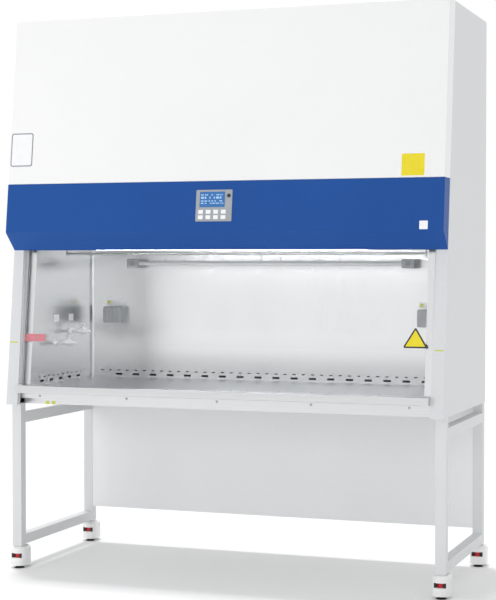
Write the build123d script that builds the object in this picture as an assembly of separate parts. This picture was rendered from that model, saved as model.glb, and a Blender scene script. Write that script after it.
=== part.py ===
from build123d import *
import os
from math import cos, pi, radians, sin, sqrt, tan

# Biosafety cabinet on a castered stand.  Millimetres, +Z up, +Y to the back,
# +X to the right seen from the front.  The origin is on the floor, in the
# middle of the footprint (casters and armrest included).

os.makedirs("parts", exist_ok=True)

# ------------------------------------------------------------ overall sizes
WIDTH = 1816.0          # across the side panels
HEIGHT = 2250.0         # floor to the top of the cabinet
BODY_Z = 680.0          # underside of the cabinet, top of the stand
BODY_DEPTH = 777.0      # underside, front line to rear panel
LEAN = 6.88             # backward lean of the front, degrees
SHEET = 2.0             # sheet metal of the casing and the chamber
SEAT = 0.3              # clearance between pieces that rest on each other
SLIP = 0.05             # radial clearance of a shaft in its bore
EDGE = 25.0             # folded flanges of the side panels

# ------------------------------------------------------------ levels above the underside
SILL_RISE = 82.0        # top of the armrest
WORK_RISE = 70.0        # work surface
PAN_RISE = 26.0         # lower edge of the front band, floor of the upper pan
OPENING_HEIGHT = 547.0  # sill to the lower edge of the fascia
KNEE_RISE = 72.0        # opening to the knee of the fascia
COVER_RISE = 268.0      # opening to the joint between fascia and cover
CEILING_RISE = 11.0     # opening to the chamber's ceiling

# ------------------------------------------------------------ front
POST_WIDTH = 50.0       # front post of a side panel at its foot
POST_TOP_WIDTH = 42.0   # the same post at and above the fascia
POST_DEPTH = 24.0
COVER_PROUD = 84.0      # cover and fascia, ahead of the front line
COVER_EDGE = 3.0        # radius round the cover's face
COVER_RIM = 18.0        # rim left round the passage between cover and fascia
COVER_END = 60.0        # closed end of that passage
KNEE_RADIUS = 6.0

ARMREST_HEIGHT = 32.0
ARMREST_PROUD = 28.0    # ahead of the front line
ARMREST_RADIUS = 9.0
ARMREST_LIP = 4.0       # radius of its lower front edge
PAN_SETBACK = 34.0      # front wall of the pan, behind the body's foot line
SUMP_SETBACK = 40.0     # lower step of the pan, behind its front wall

# ------------------------------------------------------------ work chamber
SIDE_DUCT = 58.0        # chamber wall to the outer side
CHAMBER_BACK = 89.0     # rear duct, from the chamber's back wall to the rear panel
CHAMBER_RADIUS = 14.0   # coved upright corners
LINER_LIP = 25.0        # front lips of the chamber liner
LINER_DEPTH = 41.0      # lips behind the front line
LEDGE = 15.0            # rests of the work surface
WORK_FOLD = 28.0        # turned-down edges of the work surface
GRILLE_STEP = 7.0       # front grille above the work surface
GRILLE_BACK = 118.0     # its rear edge behind the foot line
GRILLE_SLOTS = 24
SLOT_RISE = 13.0        # middle of the return slots above the work surface
SLOT_PITCH = 82.0
SLOT_WIDTH = 32.0
SLOT_HEIGHT = 9.0
SLOT_MARGIN = 100.0     # row of slots to the chamber's side, at least
SIDE_SLOTS = 5
SIDE_SLOT_PITCH = 86.0
SMALL_SLOT = (14.0, 4.0)
SMALL_RISE = 17.0       # small slots above the large ones
SLOT_SHIFT = 21.0       # the row of large slots is set off to the left
DRAIN_X = 545.0
DRAIN_RADIUS = 14.0

# ------------------------------------------------------------ sash and its drive
GLASS_THICK = 6.0
GLASS_HEIGHT = 600.0
GLASS_INSET = 36.0      # glass edge to the outer side
GLASS_DEPTH = 28.0      # outer glass surface behind the front line
SASH_GAP = 171.0        # sill to the sash at its working height
GUIDE_INSET = 28.0      # outer side of the sash guides to the outer side
GUIDE_SPARE = 55.0      # guides above the raised glass
PULLEY_INSET = 82.0     # belts to the outer side
PULLEY_RADIUS = 12.0
PULLEY_TEETH = 10
BELT_H = -10.0          # pulley axes ahead of the front line
BELT_WIDTH = 10.0
FLANGE = 2.0            # pulley flanges beyond the belt's inner side
BELT_THICK = 1.6
IDLER_RISE = 24.0       # idlers above the opening
IDLER_PIN = 4.0
SHAFT_RADIUS = 6.0
MOTOR_RADIUS = 20.0
MOTOR_LENGTH = 700.0
CLAMP = 20.0            # belt clamps of the carrier, along the belt

# ------------------------------------------------------------ air system
FILTER_MARGIN = 5.0     # supply filter to the chamber's sides
FILTER_FRONT = 200.0    # behind the body's foot line
FILTER_HEIGHT = 90.0
FILTER_WALL = 15.0
FILTER_PLEATS = 16
FILTER_RIM = 18.0       # diffuser plate to filter
DIFFUSER_FRONT = 184.0  # front edge of the ceiling plate
DIFFUSER_SLOTS = 16
PLENUM_GAP = 41.9       # side panel's post to the plenum's front wall, at its top
EXHAUST_WIDTH = 1200.0
EXHAUST_DEPTH = 380.0
EXHAUST_HEIGHT = 140.0
EXHAUST_GAP = 20.0      # under the roof, and ahead of the rear duct
EXHAUST_SLOTS = 9

FAN_RADIUS = 190.0
FAN_WIDTH = 130.0
FAN_INLET = 125.0
BELL = 28.0             # inlet ring, into the shroud's lip
FAN_BLADES = 7
FAN_GAP = 30.0          # impeller's back plate ahead of its width
BLADE_BEND = 150.0
BLADE_THICK = 3.0
ROTOR_RADIUS = 62.0
ROTOR_DEPTH = 40.0
AXLE_RADIUS = 10.0
MOUNT_REACH = 25.0      # motor plate beyond the impeller

# ------------------------------------------------------------ chamber fittings
UV_X = -4.0             # middle of the lamp
UV_HALF = 593.0         # half the lamp's length
UV_RISE = 504.0         # lamp above the work surface
UV_OUT = 48.0           # lamp axis ahead of the back wall
UV_RADIUS = 8.0
HOLDER = (53.0, 66.0, 38.0)
LIGHT_HALF = 600.0
LIGHT_FRONT = 130.0
LIGHT_DEPTH = 53.7
LIGHT_HEIGHT = 22.0
LIGHT_DROP = 9.0        # lower face under the ceiling plate
BAR_INSET = 74.0        # bar end to the chamber's side
BAR_SETBACK = 291.0
BAR_DROP = 25.0
BAR_RADIUS = 5.0
HOOKS = 10
HOOK_START = -323.0
HOOK_PITCH = 83.0
HOOK_DROP = 24.0
HOOK_WIRE = 3.0

SOCKET_INSETS = {"left": 119.0, "right": 157.0}    # middle of the outlet to the chamber's side
SOCKET_RISE = 278.0
SOCKET_WIDTH = 88.0
SOCKET_HEIGHT = 73.0
SOCKET_DEPTH = 38.0
SOCKET_RIM = 6.0
COVER_THICK = 7.0
COVER_RIBS = 4
HINGE_OUT = 3.8
HINGE_DOWN = 3.5
HINGE_PIN = 1.6

TAPS = {"front": (330.0, 168.0), "rear": (470.0, 212.0)}    # setback and rise above the work surface
TAP_REACH = 98.0
TAP_STEM = 58.0
TAP_KNOB_RISE = 22.0
TAP_KNOB_TALL = 11.0
TAP_HANDLE = 36.0

# ------------------------------------------------------------ controls
DISPLAY_X = -3.0
DISPLAY_RISE = 172.0    # middle of the display above the opening
DISPLAY_WIDTH = 150.0
DISPLAY_HEIGHT = 124.0
BEZEL = 2.0
SCREEN_X = -6.0         # screen against the display's middle
SCREEN_UP = 24.0
SCREEN_WIDTH = 108.0
SCREEN_HEIGHT = 61.0
KEY_WIDTH = 20.0
KEY_HEIGHT = 15.5
KEY_DEEP = 6.0
KEY_PROUD = 1.2
KEY_TRAVEL = 0.8
KEY_START = -54.0
KEY_PITCH = 31.5
KEY_UP = -24.5
KEY_ROW_PITCH = 21.0

# ------------------------------------------------------------ stand
TUBE = 40.0             # square tube of the stand
TUBE_WALL = 2.5
STAND_FRONT = 51.0      # front face of the front legs behind the foot line
STAND_DEPTH = 713.0
LEG_Z = 94.0            # lower end of the legs
SEAT_HALF = 17.0        # square seat of a caster under its leg
SIDE_BAR_DROP = 80.0    # lower side of the upper side bars under the cabinet
LOW_BAR_Z = 97.0
REAR_RAIL_DROP = 107.0
REAR_RAIL_DEPTH = 30.0
PANEL_Z = 161.0         # lower edge of the stand's back panel
PANEL_FOLD = 8.0

# ------------------------------------------------------------ casters
CASTER_RADIUS = 33.5    # round front of the caster housing
CASTER_LOW = 12.0
CASTER_TOP = 89.0
CASTER_CHAMFER = 8.0
CASTER_WALL = 7.5
PAD_ROOM = 8.0          # recess for the raised pad
WHEEL_RADIUS = 25.0
WHEEL_WIDTH = 24.0
WHEEL_OFFSET = 1.6 * WHEEL_RADIUS       # wheel axle behind the swivel axis
WHEEL_LIFT = 3.0        # wheel clear of the floor while the foot is down
WHEEL_GAP = 2.5         # wheel to the sides of its well
WHEEL_AXLE = 4.0
FOOT_RADIUS = 22.0
FOOT_RISE = 11.0        # cone of the pad
SPINDLE_RADIUS = 5.0
SPINDLE_TOP = 66.0
KING_PIN = 6.0
KNOB_RADIUS = 20.0
KNOB_LOW = 44.0
KNOB_HIGH = 63.0
KNOB_WINDOW = 47.0
KNOB_SIDES = 14

# ------------------------------------------------------------ derived levels and lines
SILL_Z = BODY_Z + SILL_RISE
WORK_Z = BODY_Z + WORK_RISE
PAN_Z = BODY_Z + PAN_RISE
OPENING_Z = SILL_Z + OPENING_HEIGHT
KNEE_Z = OPENING_Z + KNEE_RISE
COVER_Z = OPENING_Z + COVER_RISE
CEILING_Z = OPENING_Z + CEILING_RISE
GRILLE_Z = WORK_Z + GRILLE_STEP
PAN_TOP = GRILLE_Z - SHEET - 2
SLOT_Z = WORK_Z + SLOT_RISE
PLENUM_Z = CEILING_Z + SHEET + FILTER_RIM + FILTER_HEIGHT
PLENUM_TOP = HEIGHT - EXHAUST_GAP - EXHAUST_HEIGHT
FAN_Z = (PLENUM_Z + PLENUM_TOP) / 2
SIDE_BAR_Z = BODY_Z - SIDE_BAR_DROP
REAR_RAIL_Z = BODY_Z - REAR_RAIL_DROP
UV_Z = WORK_Z + UV_RISE
BAR_Z = CEILING_Z - BAR_DROP
SOCKET_Z = WORK_Z + SOCKET_RISE

SLOPE = tan(radians(LEAN))
COS = cos(radians(LEAN))
SIN = sin(radians(LEAN))
HALF = WIDTH / 2
SKIN = HALF - SHEET                       # inner side of a side panel's skin
CHAMBER_HALF = HALF - SIDE_DUCT
GLASS_HALF = HALF - GLASS_INSET
GUIDE_HALF = HALF - GUIDE_INSET
PULLEY_X = HALF - PULLEY_INSET
BACK_SLOTS = int(2 * (CHAMBER_HALF - SLOT_MARGIN) / SLOT_PITCH)
SOCKETS = {"left": SOCKET_INSETS["left"] - CHAMBER_HALF, "right": CHAMBER_HALF - SOCKET_INSETS["right"]}
FILTER_HALF = CHAMBER_HALF - FILTER_MARGIN
BAR_HALF = CHAMBER_HALF - BAR_INSET

PLENUM_FRONT = (PLENUM_TOP - BODY_Z) * SLOPE + POST_DEPTH + PLENUM_GAP
LINER_H = LINER_DEPTH * COS
GLASS_H = -GLASS_DEPTH * COS
FASCIA_H = COVER_PROUD * COS
SASH_OPEN_Z = SILL_Z + SASH_GAP
GUIDE_TOP_Z = OPENING_Z + GLASS_HEIGHT * COS + GUIDE_SPARE
BELT_TOP_Z = GUIDE_TOP_Z + PULLEY_RADIUS + 3
BELT_LOW_Z = OPENING_Z + IDLER_RISE

# The armrest's lower front edge is the foremost point, the rear wheels the
# rearmost: the foot line is placed so that both are equally far from y = 0.
lip_z = SILL_Z - ARMREST_HEIGHT + ARMREST_LIP
reach_front = ARMREST_PROUD - (lip_z - BODY_Z) * SLOPE - ARMREST_LIP * (1 / COS - 1)
leg_back = STAND_FRONT + STAND_DEPTH - TUBE / 2
reach_back = leg_back + WHEEL_OFFSET + WHEEL_RADIUS
FOOT_Y = (reach_front - reach_back) / 2
REAR_Y = FOOT_Y + BODY_DEPTH
BACK_WALL_Y = REAR_Y - CHAMBER_BACK       # chamber side of the back wall
EXHAUST_Y = BACK_WALL_Y - EXHAUST_DEPTH / 2 - EXHAUST_GAP
FAN_BACK_Y = BACK_WALL_Y - FAN_WIDTH - FAN_GAP
UV_Y = BACK_WALL_Y - UV_OUT
BAR_Y = FOOT_Y + BAR_SETBACK

# Sloping frame of the front: x across, s up the slope, h ahead of it.
FRONT = Plane(origin=(0, FOOT_Y, BODY_Z), x_dir=(1, 0, 0), z_dir=(0, -COS, SIN)).location


def front_y(z):
    """The front line of the side panels at the height z."""
    return FOOT_Y + (z - BODY_Z) * SLOPE


def along(z):
    """Distance s up the slope at the height z, on the front line."""
    return (z - BODY_Z) / COS


DISPLAY_S = along(OPENING_Z + DISPLAY_RISE - COVER_PROUD * COS * SIN)


def block(x0, x1, y0, y1, z0, z1):
    """A box between two corners."""
    return Pos((x0 + x1) / 2, (y0 + y1) / 2, (z0 + z1) / 2) * Box(x1 - x0, y1 - y0, z1 - z0)


def front_block(x0, x1, s0, s1, h0, h1):
    """A box between two corners of the sloping frame."""
    return FRONT * block(x0, x1, s0, s1, h0, h1)


def prism(points, x0, x1):
    """A solid of a (y, z) outline from x0 to x1."""
    outline = Plane.YZ * Polygon(*points, align=None)
    return Pos(x0, 0, 0) * extrude(outline, amount=x1 - x0, dir=(1, 0, 0))


def mirrored(shape):
    """The same piece on the other side."""
    return mirror(shape, about=Plane.YZ)


def save(node, *pieces):
    """Write one node, made of one or more separate solids."""
    solids = [solid for piece in pieces for solid in piece.solids()]
    shape = solids[0] if len(solids) == 1 else Compound(children=solids)
    export_step(shape, f"parts/{node}.step")


def slot_cuts(count, pitch, width, height, z, y0, y1, middle=0.0):
    """A row of slots through a wall that faces the front, about a middle."""
    places = [middle + (index - (count - 1) / 2) * pitch for index in range(count)]
    return [block(x - width / 2, x + width / 2, y0, y1, z - height / 2, z + height / 2) for x in places]


def floor_cuts(count, span, width, y0, y1, z):
    """A row of slots through a level sheet at z, spread over a span."""
    pitch = span / count
    places = [(index - (count - 1) / 2) * pitch for index in range(count)]
    return [block(x - width / 2, x + width / 2, y0, y1, z - SHEET, z + 2 * SHEET) for x in places]


# ------------------------------------------------------------ casing
def side_panel():
    """Right side: a skin with a box post in front and folded flanges."""
    outline = [(front_y(BODY_Z), BODY_Z), (front_y(HEIGHT), HEIGHT), (REAR_Y, HEIGHT), (REAR_Y, BODY_Z)]
    skin = prism(outline, SKIN, HALF)
    foot, top = HALF - POST_WIDTH, HALF - POST_TOP_WIDTH
    edge = [(foot, -1), (foot, along(SILL_Z)), (top, along(OPENING_Z)), (top, along(HEIGHT) + 1)]
    face = Polygon((SKIN, -1), *edge, (SKIN, along(HEIGHT) + 1), align=None)
    face = FRONT * Pos(0, 0, -SHEET) * extrude(face, amount=SHEET, dir=(0, 0, 1))
    back = [(x + SHEET, s) for x, s in reversed(edge)]
    fold = extrude(Polygon(*edge, *back, align=None), amount=POST_DEPTH, dir=(0, 0, 1))
    fold = FRONT * Pos(0, 0, -POST_DEPTH) * fold
    post = (face + fold) & prism(outline, foot, SKIN)
    post -= block(foot, SKIN, front_y(BODY_Z), REAR_Y, HEIGHT - SHEET, HEIGHT)
    shaft_hole = Rot(0, 90, 0) * Cylinder(SHAFT_RADIUS + SLIP, POST_TOP_WIDTH)
    post -= FRONT * Pos(top, along(BELT_TOP_Z), BELT_H) * shaft_hole
    flange_y = front_y(BODY_Z) + POST_DEPTH
    rear = block(SKIN - EDGE, SKIN, REAR_Y - 2 * SHEET, REAR_Y - SHEET, BODY_Z, HEIGHT - SHEET)
    low = block(HALF - TUBE - 4, SKIN, flange_y, REAR_Y - 2 * SHEET, BODY_Z, BODY_Z + SHEET)
    high = block(SKIN - EDGE, SKIN, front_y(HEIGHT) + POST_DEPTH, REAR_Y - 2 * SHEET,
                 HEIGHT - 2 * SHEET, HEIGHT - SHEET)
    inner = PULLEY_X - BELT_WIDTH
    pin = Rot(0, 90, 0) * Cylinder(IDLER_PIN, SKIN - inner)
    pin = FRONT * Pos((SKIN + inner) / 2, along(BELT_LOW_Z), BELT_H) * pin
    return skin + post + rear + low + high + pin


def rear_panel():
    """Flat rear panel with a flanged appliance inlet."""
    wide = SKIN - SEAT
    sheet = block(-wide, wide, REAR_Y - SHEET, REAR_Y, BODY_Z, HEIGHT - SHEET - SEAT)
    x, z = 0.7 * HALF, OPENING_Z + COVER_RISE + 103
    sheet -= block(x - 24, x + 24, REAR_Y - 5, REAR_Y + 5, z - 14, z + 14)
    plate = block(x - 32, x + 32, REAR_Y, REAR_Y + 3, z - 18, z + 18)
    body = block(x - 23, x + 23, REAR_Y - 24, REAR_Y, z - 13, z + 13)
    recess = block(x - 14, x + 14, REAR_Y - 16, REAR_Y + 4, z - 9, z + 9)
    return sheet, plate + body - recess


def top_panel():
    """Roof sheet with two rows of exhaust slots."""
    wide = SKIN - SEAT
    roof = block(-wide, wide, front_y(HEIGHT) + SEAT, REAR_Y, HEIGHT - SHEET, HEIGHT)
    for row in (-1, 1):
        y = EXHAUST_Y + row * EXHAUST_DEPTH * 0.22
        reach = EXHAUST_DEPTH * 0.18
        roof -= floor_cuts(EXHAUST_SLOTS, EXHAUST_WIDTH - 100, 20, y - reach, y + reach, HEIGHT - SHEET)
    return roof


def front_cover():
    """White upper cover: a shallow tray that hangs ahead of the front line."""
    outer = [(front_y(COVER_Z) - COVER_PROUD, COVER_Z), (front_y(HEIGHT) - COVER_PROUD, HEIGHT),
             (front_y(HEIGHT), HEIGHT), (front_y(COVER_Z), COVER_Z)]
    tray = prism(outer, -HALF, HALF)
    front = tray.faces().sort_by(SortBy.AREA)[-2:].sort_by(Axis.Y)[0]
    tray = fillet(front.edges(), COVER_EDGE)
    back = tray.faces().sort_by(SortBy.AREA)[-1]
    tray = offset(tray, amount=-SHEET, openings=back)
    gap = front_y(COVER_Z)
    end = HALF - COVER_END
    return tray - block(-end, end, gap - COVER_PROUD + COVER_RIM, gap + 5, COVER_Z - 5, COVER_Z + 5)


def control_fascia():
    """Blue fascia: upright upper face, lower face folded back to the opening."""
    top = COVER_Z - SEAT
    outer = [(front_y(top) - COVER_PROUD, top), (front_y(KNEE_Z) - COVER_PROUD, KNEE_Z),
             (front_y(OPENING_Z), OPENING_Z), (front_y(top), top)]
    tray = prism(outer, -HALF, HALF)
    knee = tray.edges().filter_by(Axis.X).sort_by(Axis.Y)[0]
    tray = fillet([knee], KNEE_RADIUS)
    back = tray.faces().sort_by(SortBy.AREA)[-1]
    tray = offset(tray, amount=-SHEET, openings=back)
    gap = front_y(COVER_Z)
    end = HALF - COVER_END
    tray -= block(-end, end, gap - COVER_PROUD + COVER_RIM, gap + 5, top - 5, top + 5)
    window = front_block(DISPLAY_X - DISPLAY_WIDTH / 2 + 3, DISPLAY_X + DISPLAY_WIDTH / 2 - 3,
                         DISPLAY_S - DISPLAY_HEIGHT / 2 + 3, DISPLAY_S + DISPLAY_HEIGHT / 2 - 3,
                         FASCIA_H - 10, FASCIA_H + 10)
    return tray - window


# ------------------------------------------------------------ air system
def pleated_sheet(half, y0, y1, z0, z1):
    """Folded filter medium: one thin sheet in a zigzag from side to side."""
    thick = 4.0
    pitch = 2 * half / FILTER_PLEATS
    levels = (z0, z1 - thick)
    low = [(-half + index * pitch / 2, levels[index % 2]) for index in range(2 * FILTER_PLEATS + 1)]
    high = [(x, z + thick) for x, z in reversed(low)]
    outline = Plane.XZ * Polygon(*low, *high, align=None)
    return Pos(0, y1, 0) * extrude(outline, amount=y1 - y0, dir=(0, -1, 0))


def filter_unit(half, y0, y1, z0, z1):
    """Framed filter: an open frame with the pleated medium inside."""
    wall = FILTER_WALL
    frame = block(-half, half, y0, y1, z0, z1)
    frame -= block(-half + wall, half - wall, y0 + wall, y1 - wall, z0 - 1, z1 + 1)
    return frame, pleated_sheet(half - wall, y0 + wall, y1 - wall, z0 + 10, z1 - 10)


def air_diffuser():
    """Perforated ceiling plate with a raised rim under the supply filter."""
    wide = CHAMBER_HALF + SHEET
    plate = block(-wide, wide, FOOT_Y + DIFFUSER_FRONT, BACK_WALL_Y + SHEET, CEILING_Z, CEILING_Z + SHEET)
    for side in (-1, 1):
        x0, x1 = sorted((side * wide, side * (LIGHT_HALF + SEAT)))
        plate += block(x0, x1, FOOT_Y + LIGHT_FRONT, FOOT_Y + DIFFUSER_FRONT, CEILING_Z, CEILING_Z + SHEET)
    y0, y1 = FOOT_Y + FILTER_FRONT, BACK_WALL_Y
    top = CEILING_Z + SHEET + FILTER_RIM
    rim = block(-FILTER_HALF, FILTER_HALF, y0, y1, CEILING_Z + SHEET, top)
    inner = FILTER_HALF - SHEET
    rim -= block(-inner, inner, y0 + SHEET, y1 - SHEET, CEILING_Z, top + 1)
    plate += rim
    for row in (0.28, 0.72):
        y = y0 + (y1 - y0) * row
        reach = (y1 - y0) * 0.18
        plate -= floor_cuts(DIFFUSER_SLOTS, 2 * FILTER_HALF - 60, 14, y - reach, y + reach, CEILING_Z)
    return plate


def plenum_box():
    """Pressure box over the supply filter, with the fan inlet in its rear wall."""
    wide = SKIN - SEAT
    y0, y1 = FOOT_Y + PLENUM_FRONT, BACK_WALL_Y + SHEET
    box = block(-wide, wide, y0, y1, PLENUM_Z, PLENUM_TOP)
    box -= block(-wide + SHEET, wide - SHEET, y0 + SHEET, y1 - SHEET, PLENUM_Z + SHEET, PLENUM_TOP - SHEET)
    box += block(-wide, wide, FOOT_Y + FILTER_FRONT, y0, PLENUM_Z, PLENUM_Z + SHEET)
    half = FILTER_HALF - FILTER_WALL
    box -= block(-half, half, y0 + SHEET, BACK_WALL_Y - FILTER_WALL, PLENUM_Z - 1, PLENUM_Z + SHEET + 1)
    half = EXHAUST_WIDTH / 2 - FILTER_WALL
    depth = EXHAUST_DEPTH / 2 - FILTER_WALL
    box -= block(-half, half, EXHAUST_Y - depth, EXHAUST_Y + depth, PLENUM_TOP - SHEET - 1, PLENUM_TOP + 1)
    hole = Pos(0, y1, FAN_Z) * Rot(90, 0, 0) * Cylinder(FAN_INLET, 20)
    outer = FAN_INLET + SHEET
    bell = Polygon((FAN_INLET, 0), (FAN_INLET, BELL), (outer, BELL), (outer, 0), align=None)
    bell = revolve(Plane.XZ * bell, axis=Axis.Z)
    ring = Pos(0, BACK_WALL_Y, FAN_Z) * Rot(90, 0, 0) * bell
    return box - hole + ring


def blade(inner, outer, width):
    """One backward-curved blade, an arc between two radii, standing on z = 0."""
    offset_x = 0.45 * sqrt(BLADE_BEND ** 2 - (BLADE_BEND * 0.55) ** 2)
    centre = Pos(-offset_x, BLADE_BEND * 0.92, 0)
    arc = centre * (Circle(BLADE_BEND + BLADE_THICK / 2) - Circle(BLADE_BEND - BLADE_THICK / 2))
    band = Circle(outer) - Circle(inner)
    face = (arc & band).faces().sort_by(Axis.X)[-1]
    return extrude(face, amount=width, dir=(0, 0, 1))


def blower_impeller():
    """Backward-curved plug fan: back plate, blades and dished shroud on the external rotor."""
    lip = FAN_INLET + SHEET + 3
    plate = 3.0
    profile = Polygon((AXLE_RADIUS + SLIP, -ROTOR_DEPTH), (ROTOR_RADIUS, -ROTOR_DEPTH), (ROTOR_RADIUS, 0),
                      (FAN_RADIUS, 0), (FAN_RADIUS, plate), (ROTOR_RADIUS, plate), (ROTOR_RADIUS, 35),
                      (0, 35), (0, 30), (AXLE_RADIUS + SLIP, 30), align=None)
    wheel = revolve(Plane.XZ * profile, axis=Axis.Z)
    shape = blade(FAN_INLET * 0.86, FAN_RADIUS - 1, FAN_WIDTH - plate)
    for index in range(FAN_BLADES):
        wheel += Pos(0, 0, plate) * Rot(0, 0, index * 360 / FAN_BLADES) * shape
    shroud = Polygon((lip, FAN_WIDTH + 12), (lip + plate, FAN_WIDTH + 12), (FAN_RADIUS, FAN_WIDTH - 12),
                     (FAN_RADIUS, FAN_WIDTH - 12 - plate), (lip, FAN_WIDTH + 7), align=None)
    wheel += revolve(Plane.XZ * shroud, axis=Axis.Z)
    return Pos(0, FAN_BACK_Y, FAN_Z) * Rot(-90, 0, 0) * wheel


def fan_mount():
    """Motor plate on four square rods from the plenum's rear wall, with the fixed axle."""
    plate_y = FAN_BACK_Y - ROTOR_DEPTH - 12
    reach = FAN_RADIUS + MOUNT_REACH
    arm = ROTOR_RADIUS - 2
    mount = block(-reach, reach, plate_y - 4, plate_y, FAN_Z - arm, FAN_Z + arm)
    mount += block(-arm, arm, plate_y - 4, plate_y, FAN_Z - reach, FAN_Z + reach)
    mount += Pos(0, plate_y + 6 - SEAT / 2, FAN_Z) * Rot(90, 0, 0) * Cylinder(ROTOR_RADIUS - 6, 12 - SEAT)
    mount += Pos(0, plate_y + 30, FAN_Z) * Rot(90, 0, 0) * Cylinder(AXLE_RADIUS, 60)
    for dx, dz in ((1, 0), (-1, 0), (0, 1), (0, -1)):
        x, z = dx * (reach - 10), FAN_Z + dz * (reach - 10)
        mount += block(x - 6, x + 6, plate_y - 4, BACK_WALL_Y, z - 6, z + 6)
    return mount


# ------------------------------------------------------------ work chamber
def chamber_liner():
    """Stainless liner with coved corners, and a lip and a rest for the work surface welded on at each side."""
    z0, z1 = PAN_Z + SHEET + SEAT, CEILING_Z
    front, back = FOOT_Y - 20, BACK_WALL_Y
    depth = back - front
    centre = Pos(0, (front + back) / 2, z0)
    height = z1 - z0
    outer = RectangleRounded(2 * (CHAMBER_HALF + SHEET), depth + 2 * SHEET, CHAMBER_RADIUS + SHEET)
    inner = RectangleRounded(2 * CHAMBER_HALF, depth, CHAMBER_RADIUS)
    shell = centre * extrude(outer, amount=height) - centre * extrude(inner, amount=height)
    shell -= prism([(front - 50, BODY_Z), (front_y(BODY_Z) + LINER_DEPTH, BODY_Z),
                    (front_y(HEIGHT) + LINER_DEPTH, HEIGHT), (front - 50, HEIGHT)], -HALF, HALF)
    edge = CHAMBER_HALF - LINER_LIP
    lip = front_block(edge, CHAMBER_HALF + SHEET, along(z0) - 5, along(z1) + 9,
                      -LINER_H - SHEET, -LINER_H) & block(0, HALF, front, REAR_Y, z0, z1)
    side_y = front_y(z1) + LINER_DEPTH + SHEET
    flange = block(CHAMBER_HALF + SHEET, SKIN - SEAT, side_y, back, z1 - SHEET, z1)
    ledge_z = WORK_Z - WORK_FOLD
    ledge = block(CHAMBER_HALF - LEDGE, CHAMBER_HALF, FOOT_Y + 60, back - CHAMBER_RADIUS,
                  ledge_z - SHEET, ledge_z)
    shell = shell + flange + mirrored(flange) - lip - mirrored(lip)
    wall = (back - SHEET, back + 2 * SHEET)
    small_wide, small_tall = SMALL_SLOT
    cuts = slot_cuts(BACK_SLOTS, SLOT_PITCH, SLOT_WIDTH, SLOT_HEIGHT, SLOT_Z, *wall, -SLOT_SHIFT)
    cuts += slot_cuts(2 * BACK_SLOTS + 1, SLOT_PITCH / 2, small_wide, small_tall, SLOT_Z + SMALL_RISE, *wall,
                      -SLOT_SHIFT - SLOT_PITCH / 2)
    for side in (-1, 1):
        x0, x1 = sorted((side * (CHAMBER_HALF - SHEET), side * (CHAMBER_HALF + 2 * SHEET)))
        y0 = FOOT_Y + GRILLE_BACK + SIDE_SLOT_PITCH
        for index in range(SIDE_SLOTS):
            y = y0 + index * SIDE_SLOT_PITCH
            cuts.append(block(x0, x1, y - SLOT_WIDTH / 2, y + SLOT_WIDTH / 2,
                              SLOT_Z - SLOT_HEIGHT / 2, SLOT_Z + SLOT_HEIGHT / 2))
        for index in range(2 * SIDE_SLOTS):
            y, z = y0 + (index - 0.5) * SIDE_SLOT_PITCH / 2, SLOT_Z + SMALL_RISE
            cuts.append(block(x0, x1, y - small_wide / 2, y + small_wide / 2,
                              z - small_tall / 2, z + small_tall / 2))
    return shell - cuts, lip, mirrored(lip), ledge, mirrored(ledge)


def work_surface():
    """Removable work surface: a tray turned down on all sides."""
    half = CHAMBER_HALF - SEAT
    front, back = FOOT_Y + GRILLE_BACK + SEAT, BACK_WALL_Y - SEAT
    tray = block(-half, half, front, back, WORK_Z - WORK_FOLD, WORK_Z)
    corners = tray.edges().filter_by(Axis.Z).sort_by(Axis.Y)[-2:]
    tray = fillet(corners, CHAMBER_RADIUS + 1)
    return offset(tray, amount=-SHEET, openings=tray.faces().sort_by(Axis.Z)[0])


def intake_grille():
    """Slotted front grille between the armrest and the work surface."""
    half = CHAMBER_HALF - SEAT
    y0, y1 = FOOT_Y + PAN_SETBACK, FOOT_Y + GRILLE_BACK
    plate = block(-half, half, y0 + SHEET, y1, GRILLE_Z - SHEET, GRILLE_Z)
    notch_y = front_y(GRILLE_Z) + LINER_DEPTH + SHEET + SEAT
    notch = LINER_LIP + 5
    plate -= [block(side * half - notch, side * half + notch, y0, notch_y, GRILLE_Z - 5, GRILLE_Z + 5)
              for side in (-1, 1)]
    rear = block(-half + LEDGE, half - LEDGE, y1 - SHEET, y1, WORK_Z - WORK_FOLD, GRILLE_Z)
    front = block(-half + notch + 2, half - notch - 2, y0 + SHEET, y0 + 2 * SHEET, PAN_TOP - 8, GRILLE_Z)
    cuts = floor_cuts(GRILLE_SLOTS, 2 * half - 3 * notch, 10, y0 + 16, y1 - 14, GRILLE_Z - SHEET)
    return plate + rear + front - cuts


def base_pan():
    """Drip pan with a sump: the front wall closes the cabinet below, the sump steps back under it."""
    wide = SKIN - SEAT
    y0, y1 = FOOT_Y + PAN_SETBACK, REAR_Y - 2 * SHEET - SEAT
    pan = block(-wide, wide, y0, y1, PAN_Z, PAN_Z + SHEET)
    pan += block(-wide, wide, y0, y0 + SHEET, PAN_Z, PAN_TOP)
    for side in (-1, 1):
        x0, x1 = sorted((side * wide, side * (wide - SHEET)))
        pan += block(x0, x1, y0, y1, PAN_Z, PAN_TOP - 20)
    pan += block(-wide, wide, y1 - SHEET, y1, PAN_Z, PAN_TOP - 20)
    half = HALF - TUBE - 4 - SEAT
    front, back = y0 + SUMP_SETBACK, y1 - EDGE
    pan += block(-half, half, front, back, BODY_Z, PAN_Z)
    pan -= block(-half + SHEET, half - SHEET, front + SHEET, back - SHEET, BODY_Z + SHEET, PAN_Z + 2 * SHEET)
    middle = (front + back) / 2
    pan -= Pos(DRAIN_X, middle, BODY_Z) * Cylinder(DRAIN_RADIUS - 5, 20)
    drain = Pos(DRAIN_X, middle, BODY_Z - 12) * (Cylinder(DRAIN_RADIUS, 24) - Cylinder(DRAIN_RADIUS - 5, 60))
    return pan, drain


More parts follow.
